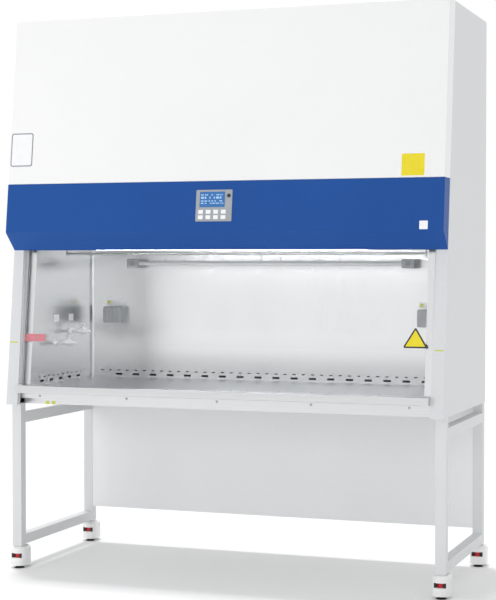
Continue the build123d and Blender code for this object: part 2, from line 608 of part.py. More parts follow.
def armrest():
    """Stainless armrest along the sill, rounded in front and open behind."""
    half = HALF - POST_WIDTH - SEAT
    low = SILL_Z - ARMREST_HEIGHT
    back = FOOT_Y + PAN_SETBACK - SEAT
    outline = [(front_y(low) - ARMREST_PROUD, low), (front_y(SILL_Z) - ARMREST_PROUD, SILL_Z),
               (back, SILL_Z), (back, low)]
    rail = prism(outline, -half, half)
    front = rail.faces().sort_by(Axis.Y)[0]
    long_edges = front.edges().filter_by(Axis.X)
    rail = fillet(long_edges.sort_by(Axis.Z)[-1:], ARMREST_RADIUS)
    rail = fillet(rail.edges().filter_by(Axis.X).sort_by(Axis.Z)[:2].sort_by(Axis.Y)[:1], ARMREST_LIP)
    return offset(rail, amount=-SHEET, openings=rail.faces().sort_by(Axis.Y)[-1])


# ------------------------------------------------------------ sash and its drive
def sash_glass():
    """Toughened glass, its corners eased."""
    s0 = along(SASH_OPEN_Z)
    pane = block(-GLASS_HALF, GLASS_HALF, s0, s0 + GLASS_HEIGHT, GLASS_H - GLASS_THICK, GLASS_H)
    return FRONT * fillet(pane.edges().filter_by(Axis.Z), 6)


def sash_carrier():
    """Clamp channel on the glass's upper edge, with a belt clamp on each side."""
    s1 = along(SASH_OPEN_Z) + GLASS_HEIGHT
    half = CHAMBER_HALF - 2
    wall = 3
    rail = block(-half, half, s1 - 30, s1 + 10, GLASS_H - GLASS_THICK - wall, GLASS_H + wall)
    rail -= block(-HALF, HALF, s1 - 31, s1, GLASS_H - GLASS_THICK, GLASS_H)
    clamp_h = BELT_H - PULLEY_RADIUS
    slot = BELT_WIDTH / 2 + SEAT
    for side in (-1, 1):
        x = side * PULLEY_X
        pad = block(x - 14, x + 14, s1 + 10 - CLAMP, s1 + 10, GLASS_H + wall, clamp_h + 5)
        channel = block(x - slot, x + slot, s1 - CLAMP, s1 + CLAMP,
                        clamp_h - BELT_THICK - SEAT, clamp_h + SEAT)
        rail += pad - channel
    return FRONT * rail


def sash_guide():
    """Right guide: a black channel that takes the edge of the glass."""
    s0, s1 = along(SILL_Z + 4), along(GUIDE_TOP_Z)
    inner = CHAMBER_HALF + 4
    guide = block(inner, GUIDE_HALF, s0, s1, -LINER_H + SEAT, -POST_DEPTH - SEAT)
    slot = block(inner - 1, GLASS_HALF + 2, s0 - 1, s1 + 1, GLASS_H - GLASS_THICK - 0.5, GLASS_H + 0.5)
    return FRONT * (guide - slot)


def pulley(bore):
    """Toothed belt pulley with a flange at each side, along X."""
    wide = BELT_WIDTH + 2
    outer, root = PULLEY_RADIUS - SEAT, PULLEY_RADIUS - SEAT - 1.2
    step = 2 * pi / PULLEY_TEETH
    turn = [(radius, (index + part) * step) for index in range(PULLEY_TEETH)
            for radius, part in ((outer, -0.32), (outer, 0.12), (root, 0.22), (root, 0.58))]
    rim = Polygon(*[(radius * cos(angle), radius * sin(angle)) for radius, angle in turn], align=None)
    wheel = Pos(0, 0, -wide / 2) * extrude(rim, amount=wide, dir=(0, 0, 1))
    for end in (-1, 1):
        wheel += Pos(0, 0, end * (wide / 2 + 1)) * Cylinder(PULLEY_RADIUS + FLANGE, 2)
    if bore:
        wheel -= Cylinder(bore, wide + 20)
    return Rot(0, 90, 0) * wheel


def sash_drive_shaft():
    """Cross shaft with the tubular motor and a belt pulley at each end."""
    shaft = Rot(0, 90, 0) * Cylinder(SHAFT_RADIUS, 2 * (HALF - POST_TOP_WIDTH + SHEET))
    shaft += Rot(0, 90, 0) * Cylinder(MOTOR_RADIUS, MOTOR_LENGTH)
    for side in (-1, 1):
        shaft += Pos(side * PULLEY_X, 0, 0) * pulley(0)
    return FRONT * Pos(0, along(BELT_TOP_Z), BELT_H) * shaft


def sash_idlers():
    """Lower belt pulleys on the pins of the side panels."""
    at = FRONT * Pos(0, along(BELT_LOW_Z), BELT_H)
    return [at * Pos(side * PULLEY_X, 0, 0) * pulley(IDLER_PIN + SLIP) for side in (-1, 1)]


def sash_belt():
    """Right belt: a closed loop around the drive pulley and the idler."""
    span = along(BELT_TOP_Z) - along(BELT_LOW_Z)
    middle = (along(BELT_TOP_Z) + along(BELT_LOW_Z)) / 2
    outer = SlotCenterToCenter(span, 2 * (PULLEY_RADIUS + BELT_THICK), rotation=90)
    inner = SlotCenterToCenter(span, 2 * PULLEY_RADIUS, rotation=90)
    loop = extrude(outer - inner, amount=BELT_WIDTH / 2, both=True)
    return FRONT * Pos(PULLEY_X, middle, BELT_H) * Rot(0, 90, 0) * loop


# ------------------------------------------------------------ chamber fittings
def uv_lamp_holder():
    """Right holder of the germicidal lamp, on the back wall."""
    wide, deep, tall = HOLDER
    body = block(UV_HALF, UV_HALF + wide, BACK_WALL_Y - deep, BACK_WALL_Y - SEAT,
                 UV_Z - tall / 2, UV_Z + tall / 2)
    body = chamfer(body.edges().filter_by(Axis.X).sort_by(Axis.Y)[:2], 6)
    return body - Pos(UV_HALF, UV_Y, UV_Z) * Rot(0, 90, 0) * Cylinder(UV_RADIUS + 1, 8)


def uv_tube():
    """Germicidal lamp tube with metal end caps."""
    tube = Rot(0, 90, 0) * Cylinder(UV_RADIUS, 2 * UV_HALF)
    for side in (-1, 1):
        tube += Pos(side * (UV_HALF - 8), 0, 0) * Rot(0, 90, 0) * Cylinder(UV_RADIUS + 0.6, 22)
    return Pos(UV_X, UV_Y, UV_Z) * tube


def work_light():
    """Flat light let into the front edge of the ceiling."""
    y0 = FOOT_Y + LIGHT_FRONT
    z0 = CEILING_Z - LIGHT_DROP
    body = block(-LIGHT_HALF, LIGHT_HALF, y0, y0 + LIGHT_DEPTH, z0, z0 + LIGHT_HEIGHT)
    return chamfer(body.edges().filter_by(Axis.X).sort_by(Axis.Z)[:2], 4)


def hook():
    """Small flat hook that hangs from the bar, its end turned up."""
    wire, drop, lip = HOOK_WIRE, HOOK_DROP, 2.4 * HOOK_WIRE
    low = -drop - wire
    outline = [(0, 0), (0, -drop), (-wire, low), (-lip - wire, low), (-lip - 2 * wire, -drop),
               (-lip - wire, -drop + wire), (-lip, -drop), (-wire, -drop), (-wire, 0)]
    face = Plane.YZ * Polygon(*outline, align=None)
    return Pos(-wire / 2, 0, 0) * extrude(face, amount=wire, dir=(1, 0, 0))


def iv_bar():
    """Hanging bar with hooks, on an end bracket at each side."""
    drop = CEILING_Z - BAR_Z
    bar = Rot(0, 90, 0) * Cylinder(BAR_RADIUS, 2 * BAR_HALF)
    for side in (-1, 1):
        foot = side * (BAR_HALF - 2)
        bar += block(foot - 2, foot + 2, -10, 10, -12, drop)
        bar += block(foot - 16, foot + 16, -14, 14, drop - 3, drop)
    for index in range(HOOKS):
        bar += Pos(HOOK_START + index * HOOK_PITCH, HOOK_WIRE / 2, -2) * hook()
    return Pos(0, BAR_Y, BAR_Z) * bar


def socket_box(x):
    """Outlet box on the back wall, with a recessed face behind the cover."""
    y0 = BACK_WALL_Y - SOCKET_DEPTH
    half, tall = SOCKET_WIDTH / 2, SOCKET_HEIGHT / 2
    box = block(x - half, x + half, y0, BACK_WALL_Y - SEAT, SOCKET_Z - tall, SOCKET_Z + tall)
    box = chamfer(box.edges().filter_by(Axis.Y), 3)
    box -= block(x - half + SOCKET_RIM, x + half - SOCKET_RIM, y0 - 1, y0 + 7,
                 SOCKET_Z - tall + SOCKET_RIM, SOCKET_Z + tall - SOCKET_RIM - 2)
    ear = block(x - 12, x + 12, y0 - 7, y0, SOCKET_Z + tall - 7, SOCKET_Z + tall)
    pin = Pos(x, y0 - HINGE_OUT, SOCKET_Z + tall - HINGE_DOWN) * Rot(0, 90, 0)
    return box + ear + pin * Cylinder(HINGE_PIN, SOCKET_WIDTH - 16)


def socket_cover(x):
    """Ribbed splash cover, hinged along its top."""
    y0 = BACK_WALL_Y - SOCKET_DEPTH - SEAT
    half, tall = SOCKET_WIDTH / 2 - 1, SOCKET_HEIGHT / 2
    hinge_z = SOCKET_Z + tall - HINGE_DOWN
    hinge_y = BACK_WALL_Y - SOCKET_DEPTH - HINGE_OUT
    lid = block(x - half, x + half, y0 - COVER_THICK, y0, SOCKET_Z - tall + 1, hinge_z - 5)
    lid = chamfer(lid.edges().filter_by(Axis.Y).sort_by(Axis.Z)[:2], 4)
    for index in range(COVER_RIBS):
        rib = x + (index - (COVER_RIBS - 1) / 2) * SOCKET_WIDTH / (COVER_RIBS + 0.6)
        lid += block(rib - 4, rib + 4, y0 - COVER_THICK - 2.5, y0 - COVER_THICK,
                     SOCKET_Z - tall + 6, hinge_z - 9)
    for side in (-1, 1):
        at = x + side * (half - 16)
        arm = block(at - 12, at + 12, hinge_y - 3.5, hinge_y + 3.2, hinge_z - 6, hinge_z)
        lid += arm + Pos(at, hinge_y, hinge_z) * Rot(0, 90, 0) * Cylinder(3.5, 24)
    return lid - Pos(x, hinge_y, hinge_z) * Rot(0, 90, 0) * Cylinder(HINGE_PIN + SLIP, SOCKET_WIDTH)


def tap_body(setback, rise):
    """Service tap on the left wall: conical rose, valve body and pointed hose nozzle."""
    profile = [(0, 0), (17, 0), (8, 11), (8, 44), (13, 48), (13, 68), (2.6, TAP_REACH), (0, TAP_REACH)]
    body = revolve(Plane.XZ * Polygon(*profile, align=None), axis=Axis.Z)
    body = Rot(0, 90, 0) * body
    body += Pos(TAP_STEM, 0, 0) * extrude(RegularPolygon(8, 6), amount=TAP_KNOB_RISE)
    body += Pos(TAP_STEM, 0, TAP_KNOB_RISE + 6) * Cylinder(4, 12)
    return Pos(-CHAMBER_HALF + SEAT, FOOT_Y + setback, WORK_Z + rise) * body


def tap_knob(setback, rise):
    """T handle on the tap's stem, its two arms tapered."""
    arm = TAP_HANDLE / 2
    plan = Polygon((-5, -arm), (5, -arm), (8, 0), (5, arm), (-5, arm), (-8, 0), align=None)
    knob = chamfer(extrude(plan, amount=TAP_KNOB_TALL, dir=(0, 0, 1)).faces().sort_by(Axis.Z)[-1].edges(), 2)
    knob -= Pos(0, 0, TAP_KNOB_TALL / 2) * Cylinder(4 + SLIP, TAP_KNOB_TALL + 2)
    at = Pos(-CHAMBER_HALF + SEAT + TAP_STEM, FOOT_Y + setback, WORK_Z + rise + TAP_KNOB_RISE + SEAT)
    return at * Rot(0, 0, 60) * knob


# ------------------------------------------------------------ controls
def display_module():
    """Bezel with wells for eight keys, and the screen window in it."""
    h1 = FASCIA_H + BEZEL
    half, tall = DISPLAY_WIDTH / 2, DISPLAY_HEIGHT / 2
    bezel = block(-half, half, -tall, tall, FASCIA_H, h1)
    bezel = fillet(bezel.edges().filter_by(Axis.Z), 4)
    bezel += block(-half + 4, half - 4, -tall + 4, tall - 4, FASCIA_H - 20, FASCIA_H)
    x0, x1 = SCREEN_X - SCREEN_WIDTH / 2, SCREEN_X + SCREEN_WIDTH / 2
    s0, s1 = SCREEN_UP - SCREEN_HEIGHT / 2, SCREEN_UP + SCREEN_HEIGHT / 2
    bezel -= block(x0, x1, s0, s1, h1 - 3, h1 + 1)
    for x, s in key_places():
        half_x, half_s = KEY_WIDTH / 2 + SEAT, KEY_HEIGHT / 2 + SEAT
        floor = h1 - KEY_DEEP - KEY_TRAVEL - SEAT
        bezel -= block(x - half_x, x + half_x, s - half_s, s + half_s, floor, h1 + 1)
    at = FRONT * Pos(DISPLAY_X, DISPLAY_S, 0)
    return at * bezel, at * block(x0, x1, s0, s1, h1 - 3, h1 - 0.6)


def key_places():
    """Centres of the keys about the centre of the display, upper row first."""
    return [(KEY_START + column * KEY_PITCH, KEY_UP - row * KEY_ROW_PITCH)
            for row in range(2) for column in range(4)]


def key(x, s):
    """One push key, its top edges rounded."""
    h1 = FASCIA_H + BEZEL
    cap = block(x - KEY_WIDTH / 2, x + KEY_WIDTH / 2, s - KEY_HEIGHT / 2, s + KEY_HEIGHT / 2,
                h1 - KEY_DEEP, h1 + KEY_PROUD)
    cap = chamfer(cap.faces().sort_by(Axis.Z)[-1].edges(), KEY_TRAVEL)
    return FRONT * Pos(DISPLAY_X, DISPLAY_S, 0) * cap


# ------------------------------------------------------------ stand
def leg_places():
    """Axes of the four legs with their names."""
    x = HALF - TUBE / 2
    front, back = FOOT_Y + STAND_FRONT + TUBE / 2, FOOT_Y + leg_back
    return {"front_left": (-x, front), "front_right": (x, front),
            "rear_left": (-x, back), "rear_right": (x, back)}


def tube(x0, x1, y0, y1, z0, z1, along_axis):
    """A square tube between two corners, open along one axis."""
    wall = TUBE_WALL
    grow = {"X": (1, -wall, -wall), "Y": (-wall, 1, -wall), "Z": (-wall, -wall, 1)}[along_axis]
    gx, gy, gz = grow
    return block(x0, x1, y0, y1, z0, z1) - block(x0 - gx, x1 + gx, y0 - gy, y1 + gy, z0 - gz, z1 + gz)


def stand_frame():
    """Welded frame: four legs, side bars, rear rail, caster seats and king pins."""
    frame = None
    for x, y in leg_places().values():
        leg = tube(x - TUBE / 2, x + TUBE / 2, y - TUBE / 2, y + TUBE / 2, LEG_Z, BODY_Z, "Z")
        leg += block(x - TUBE / 2, x + TUBE / 2, y - TUBE / 2, y + TUBE / 2, LEG_Z, LEG_Z + 3)
        leg += block(x - TUBE / 2, x + TUBE / 2, y - TUBE / 2, y + TUBE / 2, BODY_Z - 4, BODY_Z)
        seat = CASTER_TOP + SEAT
        leg += block(x - SEAT_HALF, x + SEAT_HALF, y - SEAT_HALF, y + SEAT_HALF, seat, LEG_Z)
        leg += Pos(x, y, LEG_Z - 10) * Cylinder(KING_PIN, 20)
        frame = leg if frame is None else frame + leg
    y0 = FOOT_Y + STAND_FRONT + TUBE
    y1 = y0 + STAND_DEPTH - 2 * TUBE
    for side in (-1, 1):
        x0, x1 = sorted((side * HALF, side * (HALF - TUBE)))
        frame += tube(x0, x1, y0, y1, SIDE_BAR_Z, SIDE_BAR_Z + TUBE, "Y")
        frame += tube(x0, x1, y0, y1, LOW_BAR_Z, LOW_BAR_Z + TUBE, "Y")
    inner = HALF - TUBE
    rear = FOOT_Y + STAND_FRONT + STAND_DEPTH
    return frame + tube(-inner, inner, rear - REAR_RAIL_DEPTH, rear, REAR_RAIL_Z, REAR_RAIL_Z + TUBE, "X")


def stand_back_panel():
    """Sheet panel between the rear legs, its edges folded back."""
    half = HALF - TUBE - SEAT
    rail = FOOT_Y + STAND_FRONT + STAND_DEPTH - REAR_RAIL_DEPTH - SEAT
    tray = block(-half, half, rail - PANEL_FOLD, rail, PANEL_Z, BODY_Z - SEAT)
    return offset(tray, amount=-SHEET, openings=tray.faces().sort_by(Axis.Y)[-1])


# ------------------------------------------------------------ casters
def caster_housing():
    """Bell over the levelling foot, drawn out over the wheel behind it."""
    drawn = 0.7 * WHEEL_OFFSET
    plan = Pos(0, drawn / 2) * SlotCenterToCenter(drawn, 2 * CASTER_RADIUS, rotation=90)
    shell = Pos(0, 0, CASTER_LOW) * extrude(plan, amount=CASTER_TOP - CASTER_LOW)
    shell = chamfer(shell.faces().sort_by(Axis.Z)[-1].edges(), CASTER_CHAMFER)
    wheel_z = WHEEL_LIFT + WHEEL_RADIUS
    well = WHEEL_WIDTH / 2 + WHEEL_GAP
    shell -= block(-well, well, WHEEL_OFFSET - WHEEL_RADIUS - 2, WHEEL_OFFSET + 2 * CASTER_RADIUS, 0,
                   wheel_z + WHEEL_RADIUS + 2)
    inside = CASTER_RADIUS - CASTER_WALL
    shell -= block(-inside, inside, 3 - KNOB_RADIUS, KNOB_RADIUS + 1, KNOB_LOW, KNOB_HIGH)
    shell -= block(-KNOB_WINDOW / 2, KNOB_WINDOW / 2, -2 * CASTER_RADIUS, 0, KNOB_LOW, KNOB_HIGH)
    shell -= Pos(0, 0, SPINDLE_TOP / 2 + 3) * Cylinder(SPINDLE_RADIUS + SLIP, SPINDLE_TOP + 6)
    shell -= extrude(RegularPolygon(FOOT_RADIUS + 4, 12), amount=CASTER_LOW + PAD_ROOM)
    shell -= Pos(0, 0, CASTER_TOP) * Cylinder(KING_PIN + SLIP, 31)
    axle = Pos(0, WHEEL_OFFSET, wheel_z) * Rot(0, 90, 0) * Cylinder(WHEEL_AXLE, WHEEL_WIDTH + 12)
    return shell + axle


def caster_wheel():
    """Solid wheel, bored for its axle."""
    disc = Cylinder(WHEEL_RADIUS, WHEEL_WIDTH) - Cylinder(WHEEL_AXLE + SLIP, WHEEL_WIDTH + 2)
    return Pos(0, WHEEL_OFFSET, WHEEL_LIFT + WHEEL_RADIUS) * Rot(0, 90, 0) * disc


def caster_foot():
    """Levelling pad with its spindle."""
    profile = [(0, 0), (FOOT_RADIUS, 0), (SPINDLE_RADIUS, FOOT_RISE), (SPINDLE_RADIUS, SPINDLE_TOP),
               (0, SPINDLE_TOP)]
    return revolve(Plane.XZ * Polygon(*profile, align=None), axis=Axis.Z)


def caster_knob():
    """Many-sided thumbwheel on the spindle."""
    low, high = KNOB_LOW + SEAT, KNOB_HIGH - SEAT
    wheel = Pos(0, 0, low) * extrude(RegularPolygon(KNOB_RADIUS, KNOB_SIDES), amount=high - low)
    return wheel - Pos(0, 0, KNOB_LOW) * Cylinder(SPINDLE_RADIUS + SLIP, 60)


# ------------------------------------------------------------ build
right = side_panel()
save("side_panel_right", right)
save("side_panel_left", mirrored(right))
save("rear_panel", *rear_panel())
save("top_panel", top_panel())
save("front_cover", front_cover())
save("control_fascia", control_fascia())
save("air_diffuser", air_diffuser())
save("supply_filter", *filter_unit(FILTER_HALF, FOOT_Y + FILTER_FRONT, BACK_WALL_Y,
                                   PLENUM_Z - FILTER_HEIGHT, PLENUM_Z))
save("exhaust_filter", *filter_unit(EXHAUST_WIDTH / 2, EXHAUST_Y - EXHAUST_DEPTH / 2,
                                    EXHAUST_Y + EXHAUST_DEPTH / 2, PLENUM_TOP, PLENUM_TOP + EXHAUST_HEIGHT))
save("plenum_box", plenum_box())
save("blower_impeller", blower_impeller())
save("fan_mount", fan_mount())
save("chamber_liner", *chamber_liner())
save("work_surface", work_surface())
save("intake_grille", intake_grille())
save("base_pan", *base_pan())
save("armrest", armrest())
save("sash_glass", sash_glass())
save("sash_carrier", sash_carrier())
guide = sash_guide()
save("sash_guides", guide, mirrored(guide))
save("sash_drive_shaft", sash_drive_shaft())
save("sash_idlers", *sash_idlers())
belt = sash_belt()
save("sash_belts", belt, mirrored(belt))
holder = uv_lamp_holder()
save("uv_lamp_holders", Pos(UV_X, 0, 0) * holder, Pos(UV_X, 0, 0) * mirrored(holder))
save("uv_tube", uv_tube())
save("work_light", work_light())
save("iv_bar", iv_bar())
save("socket_boxes", *[socket_box(x) for x in SOCKETS.values()])
for side, x in SOCKETS.items():
    save(f"socket_cover_{side}", socket_cover(x))
save("tap_bodies", *[tap_body(*place) for place in TAPS.values()])
for name, place in TAPS.items():
    save(f"tap_knob_{name}", tap_knob(*place))
save("display_module", *display_module())
for number, place in enumerate(key_places(), 1):
    save(f"key_{number}", key(*place))
save("stand_frame", stand_frame())
save("stand_back_panel", stand_back_panel())
caster_pieces = {"housing": caster_housing(), "wheel": caster_wheel(),
                 "foot": caster_foot(), "knob": caster_knob()}
for corner, (x, y) in leg_places().items():
    for piece, shape in caster_pieces.items():
        save(f"caster_{piece}_{corner}", Pos(x, y, 0) * shape)
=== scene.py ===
from math import cos, pi, radians, sin

import bpy
import numpy as np
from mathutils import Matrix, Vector


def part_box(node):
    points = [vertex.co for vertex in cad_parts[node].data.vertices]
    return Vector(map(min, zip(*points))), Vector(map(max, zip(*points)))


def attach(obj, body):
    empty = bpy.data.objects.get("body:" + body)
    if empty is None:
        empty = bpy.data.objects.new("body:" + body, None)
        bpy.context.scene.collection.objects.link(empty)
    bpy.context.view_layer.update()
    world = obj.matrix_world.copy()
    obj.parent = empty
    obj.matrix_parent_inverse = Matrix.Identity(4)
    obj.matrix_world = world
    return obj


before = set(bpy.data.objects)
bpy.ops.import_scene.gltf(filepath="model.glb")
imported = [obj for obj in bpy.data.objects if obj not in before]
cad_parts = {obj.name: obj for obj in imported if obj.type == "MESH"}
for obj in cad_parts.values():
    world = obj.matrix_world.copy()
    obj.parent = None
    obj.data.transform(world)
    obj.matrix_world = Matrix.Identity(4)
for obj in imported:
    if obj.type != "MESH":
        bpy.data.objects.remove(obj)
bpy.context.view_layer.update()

# A biosafety cabinet on its castered stand.  Its sizes are in millimetres in the frame's own axes
# and turn to metres where a mesh is made; the camera, the floor and the lamps are placed in metres.

MM = 0.001
# The side panels' front line starts at FOOT_Y on the body's underside, BODY_Z up, and leans back.
FOOT_Y, BODY_Z, LEAN = -393.77, 680.0, radians(6.88)
BACK_WALL_Y, REAR_Y = 294.23, 383.23
CHAMBER_HALF = 850.0
COVER_PROUD = 84.0             # cover and fascia, ahead of the front line
GLASS_BACK = 28.0              # outer face of the sash glass, behind the front line
FACE_H, GLASS_H = COVER_PROUD * cos(LEAN), -GLASS_BACK * cos(LEAN)
GAP = 0.05                     # a stuck-on plate stands this far off its ground

# ------------------------------------------------------------ camera and stage
camera = bpy.data.objects.new("camera", bpy.data.cameras.new("camera"))
bpy.context.scene.collection.objects.link(camera)
camera.location = (2.2302, -6.1481, 1.2746)
camera.rotation_euler = (radians(88.5135), 0.0, radians(19.944))
camera.data.lens = 95.39
camera.data.sensor_width = 36.0
camera.data.clip_end = 100.0
bpy.context.scene.camera = camera
bpy.context.scene.view_settings.view_transform = "Standard"


# ------------------------------------------------------------ nodes and colours
def srgb(text):
    """Linear red, green, blue and 1 of an sRGB hex colour: the curve is undone above and below its toe."""
    parts = np.array([int(text[at:at + 2], 16) for at in (0, 2, 4)]) / 255
    linear = np.where(parts <= 0.04045, parts / 12.92, ((parts + 0.055) / 1.055) ** 2.4)
    return (*linear.tolist(), 1.0)


def add(tree, kind, inputs=(), **settings):
    """Add one node with its settings; inputs maps a socket to a value or to the socket that feeds it."""
    made = tree.nodes.new(kind)
    for name, value in settings.items():
        setattr(made, name, value)
    for name, value in dict(inputs).items():
        if isinstance(value, bpy.types.NodeSocket):
            tree.links.new(value, made.inputs[name])
        else:
            made.inputs[name].default_value = value
    return made


def material(name, sockets):
    """A Principled material with constants on its own sockets; gives the tree, the shader and the
    object's coordinates for the pattern that follows."""
    made = bpy.data.materials.new(name)
    made.use_nodes = True
    tree = made.node_tree
    shader = tree.nodes["Principled BSDF"]
    for socket, value in sockets.items():
        shader.inputs[socket].default_value = value
    place = add(tree, "ShaderNodeTexCoord")
    return made, tree, shader, place.outputs["Object"]


NOISE_LOW, NOISE_HIGH = 0.7, 1.3    # what the sum of two noises mostly stays between


def grained(name, dark, light, rough, grain, depth, stretch=(1, 1, 1), patch=400.0, **sockets):
    """A finish whose grain is noise: its colour drifts between two shades in soft patches, the same
    grain moves the roughness between two values and lifts the surface by depth.  grain and patch are
    sizes in millimetres; stretch divides the grain's frequency along each axis."""
    made, tree, shader, place = material(name, sockets)
    stretched = add(tree, "ShaderNodeMapping", {"Vector": place,
                                                "Scale": tuple(1 / part for part in stretch)})
    fine = add(tree, "ShaderNodeTexNoise", {"Vector": stretched.outputs[0], "Scale": 1 / (grain * MM),
                                            "Detail": 3.0, "Roughness": 0.6})
    broad = add(tree, "ShaderNodeTexNoise", {"Vector": stretched.outputs[0], "Scale": 1 / (patch * MM),
                                             "Detail": 2.0})
    both = add(tree, "ShaderNodeMath", {0: fine.outputs["Fac"], 1: broad.outputs["Fac"]}, operation="ADD")
    span = {0: both.outputs[0], 1: NOISE_LOW, 2: NOISE_HIGH}
    shade = add(tree, "ShaderNodeMapRange", {**span, 3: 0.0, 4: 1.0})
    colour = add(tree, "ShaderNodeMix", {0: shade.outputs[0], 6: srgb(dark), 7: srgb(light)},
                 data_type="RGBA")
    gloss = add(tree, "ShaderNodeMapRange", {**span, 3: rough[0], 4: rough[1]})
    lift = add(tree, "ShaderNodeBump", {"Height": fine.outputs["Fac"], "Strength": 0.5,
                                        "Distance": depth * MM})
    tree.links.new(colour.outputs[2], shader.inputs["Base Color"])
    tree.links.new(gloss.outputs[0], shader.inputs["Roughness"])
    tree.links.new(lift.outputs[0], shader.inputs["Normal"])
    return made


# ------------------------------------------------------------ metals and paints
# Polyester powder coat on sheet steel, satin: an even pale grey with a soft
# sheen.  Its orange peel, 2 mm really, is drawn at 6 mm to show at all.
powder_coat_grey = grained("powder_coat_grey_satin", "d9dbdd", "dfe1e3", (0.36, 0.46), 6, 0.05, patch=600)
powder_coat_white = grained("powder_coat_white_satin", "f3f4f4", "f8f8f8", (0.32, 0.42), 6, 0.05, patch=600)
# Stand: the same coat on welded tube, slightly whiter and duller; its sheet is whiter still, a painted lift
# that makes up for the shade under the cabinet.
powder_coat_stand = grained("powder_coat_stand_matt", "dcdedf", "e3e4e5", (0.45, 0.55), 6, 0.06, patch=300)
stand_sheet_coat_painted_light = grained("stand_sheet_matt_painted_light", "f0f2f3", "f6f7f8", (0.42, 0.52), 6, 0.05, patch=500)
# Deep blue satin powder coat: a dense saturated colour with a pale, wide sheen.
powder_coat_blue = grained("powder_coat_blue_satin", "204f98", "25559f", (0.42, 0.5), 6, 0.05, patch=500,
                           **{"Specular IOR Level": 0.15})

# Stainless steel 304, number 4 brushed: fine parallel lines, 0.4 mm apart
# really and drawn 3 mm apart, that run 0.2 m and blur what the steel mirrors.
bare_metal = dict(Metallic=1.0)
stainless_liner = grained("stainless_brushed_upright", "dcddde", "e4e5e6", (0.2, 0.27), 3, 0.02,
                          stretch=(1, 1, 60), patch=500, **bare_metal)
stainless_long = grained("stainless_brushed_lengthwise", "d3d4d5", "dddedf", (0.28, 0.38), 3, 0.03,
                         stretch=(60, 1, 1), patch=500, **bare_metal)
# A darker copy of the same steel for the work surface and the intake grille: painted shade for the shade they
# lie in low behind the armrest.
tray_steel_painted_shade = grained("stainless_brushed_tray_painted_shade", "bfc1c3", "cbcdcf", (0.3, 0.4), 3, 0.01,
                         stretch=(60, 1, 1), patch=500, **bare_metal)
stainless_wire = grained("stainless_drawn_bright", "aeb0b2", "c6c8ca", (0.2, 0.3), 2, 0.02,
                         stretch=(20, 1, 1), patch=80, **bare_metal)
# Mill aluminium, turned or sawn: whiter than steel, with a faint drawn grain.
aluminium_mill = grained("aluminium_mill", "c6c8ca", "d6d8da", (0.3, 0.42), 2, 0.03,
                         stretch=(12, 1, 12), patch=120, **bare_metal)
# The same metal, anodised matt: paler, and more than half of its mirror is gone.
aluminium_anodised = grained("aluminium_anodised_matt", "cfd1d3", "dadcde", (0.45, 0.55), 2, 0.02,
                             stretch=(1, 1, 40), patch=200, Metallic=0.4)
# Zinc-plated shaft steel: cool, bright and close-grained.
steel_zinc = grained("steel_zinc_plated", "a4a8ae", "bcc0c4", (0.24, 0.36), 1.5, 0.02, patch=60,
                     **bare_metal)


CRYSTAL = 12.0                 # across a zinc crystal


def spangled(name, dark, light):
    """Hot-dip zinc: flat crystals, each turned its own way, so cell colour picks the shade and
    the roughness."""
    made, tree, shader, place = material(name, {"Metallic": 0.9})
    cells = add(tree, "ShaderNodeTexVoronoi", {"Vector": place, "Scale": 1 / (CRYSTAL * MM),
                                               "Randomness": 1.0})
    tone = add(tree, "ShaderNodeRGBToBW", {0: cells.outputs["Color"]})
    colour = add(tree, "ShaderNodeMix", {0: tone.outputs[0], 6: srgb(dark), 7: srgb(light)},
                 data_type="RGBA")
    gloss = add(tree, "ShaderNodeMapRange", {0: tone.outputs[0], 3: 0.32, 4: 0.5})
    tree.links.new(colour.outputs[2], shader.inputs["Base Color"])
    tree.links.new(gloss.outputs[0], shader.inputs["Roughness"])
    return made


# Hot-dip galvanised sheet: grey crystals that glint in turn.
steel_galvanised = spangled("steel_galvanised", "9ea2a5", "c2c5c7")

# ------------------------------------------------------------ plastics
# Injection-moulded plastics with a fine spark-eroded skin, 0.5 mm really and
# drawn at 2 mm: soft highlights without a mirror.
nylon_white = grained("nylon_white_moulded", "f5f5f5", "fafafa", (0.38, 0.48), 2, 0.04, patch=40)
nylon_black = grained("nylon_black_moulded", "16171a", "202124", (0.42, 0.55), 2, 0.05, patch=30)
abs_red = grained("abs_red_moulded", "c4202a", "d22c34", (0.32, 0.42), 2, 0.03, patch=20)
abs_grey = grained("abs_grey_moulded", "9da2a8", "a9aeb3", (0.38, 0.48), 2, 0.03, patch=60)
abs_dark = grained("abs_dark_grey_moulded", "a6a9ac", "b2b5b7", (0.42, 0.52), 2, 0.04, patch=40)
abs_pale = grained("abs_pale_grey_moulded", "b9bcbe", "c6c8ca", (0.4, 0.5), 2, 0.04, patch=40)
abs_key = grained("abs_key_white_moulded", "f6f8fa", "fcfdfe", (0.34, 0.42), 2, 0.02, patch=20)
# Polyurethane toothed belt: dull black with a fine woven back.
polyurethane_black = grained("polyurethane_belt", "1a1b1d", "26282a", (0.6, 0.7), 1.5, 0.05, patch=60)
# Glass-fibre filter paper in its frame: matt, off-white, slightly cloudy.
filter_paper = grained("filter_paper_matt", "dcdcd6", "ebebe6", (0.8, 0.9), 2.5, 0.1, patch=90)
# Pressed vinyl and engraved plate stock for the stuck-on plates: even, slightly glossy films.
vinyl_yellow = grained("vinyl_film_yellow", "ead81c", "f2e02c", (0.34, 0.42), 3, 0.01, patch=40)
vinyl_white = grained("vinyl_film_white", "f4f6f8", "fbfcfd", (0.34, 0.42), 3, 0.01, patch=40)
vinyl_slate = grained("vinyl_film_slate", "85848f", "92919c", (0.34, 0.42), 3, 0.01, patch=40)
vinyl_dark = grained("vinyl_film_dark", "26262a", "323236", (0.36, 0.46), 3, 0.01, patch=30)
vinyl_red = grained("vinyl_film_red_sheer", "dd8690", "e5939c", (0.36, 0.46), 3, 0.01, patch=30, Alpha=0.8)
vinyl_lime = grained("vinyl_film_lime", "c9cf4a", "d6da5c", (0.36, 0.46), 3, 0.01, patch=20)


